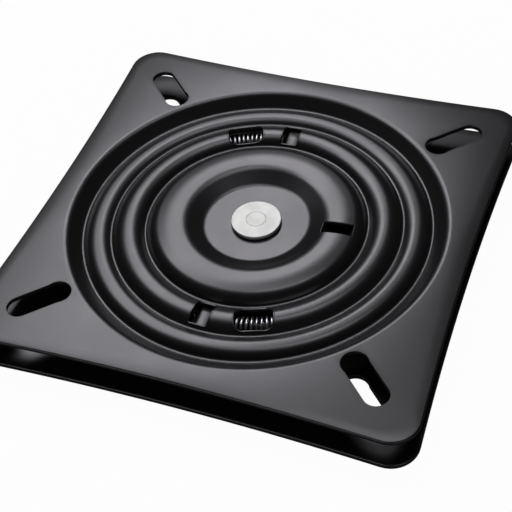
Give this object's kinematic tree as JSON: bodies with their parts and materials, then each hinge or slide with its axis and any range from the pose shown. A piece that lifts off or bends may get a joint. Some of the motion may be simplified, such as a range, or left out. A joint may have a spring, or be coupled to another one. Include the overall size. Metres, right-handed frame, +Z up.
{
  "type": "spring return seat swivel plate",
  "caption": "Square pressed-steel swivel bearing plate with a riveted centre pivot, ball race, arc return springs and diagonal bolt slots.",
  "frame": {"origin": "on the turning axis, in the plane of the lower mounting face", "axes": "+Z up along the turning axis; X and Y along the plates' sides; the camera of the picture looks from -Y, turned towards +X"},
  "size_m": [0.178, 0.178, 0.0165],
  "materials": {
    "black_paint": "satin black stoved paint on pressed steel",
    "zinc_plate": "bright zinc plate, finely turned",
    "spring_wire": "oiled spring wire",
    "ball_steel": "polished bearing steel",
    "nylon": "natural nylon"
  },
  "bodies": {
    "base": {"base_plate": "black_paint", "pivot_pin": "zinc_plate", "pivot_washer": "zinc_plate", "slip_washer": "nylon", "spacer_bush": "nylon"},
    "race": {"ball_cage": "nylon", "ball_01": "ball_steel", "ball_02": "ball_steel", "ball_03": "ball_steel", "ball_04": "ball_steel", "ball_05": "ball_steel", "ball_06": "ball_steel", "ball_07": "ball_steel", "ball_08": "ball_steel", "ball_09": "ball_steel", "ball_10": "ball_steel", "ball_11": "ball_steel", "ball_12": "ball_steel", "ball_13": "ball_steel", "ball_14": "ball_steel", "ball_15": "ball_steel", "ball_16": "ball_steel", "ball_17": "ball_steel", "ball_18": "ball_steel", "ball_19": "ball_steel", "ball_20": "ball_steel", "ball_21": "ball_steel", "ball_22": "ball_steel", "ball_23": "ball_steel", "ball_24": "ball_steel"},
    "seat": {"seat_plate": "black_paint", "return_spring_left": "spring_wire", "return_spring_right": "spring_wire"}
  },
  "joints": [
    {"name": "swivel", "type": "hinge", "parent": "base", "child": "seat", "pos_m": [0, 0, 0.0085], "axis": [0, 0, 1], "range_deg": [-90, 90], "stiffness_Nm_per_rad": 0.8, "deforming": ["return_spring_left", "return_spring_right"]},
    {"name": "race_orbit", "type": "hinge", "parent": "base", "child": "race", "pos_m": [0, 0, 0.0085], "axis": [0, 0, 1], "range_deg": [-45, 45]}
  ],
  "couplings": [
    {"joint": "race_orbit", "follows": "swivel", "ratio": 0.5}
  ]
}
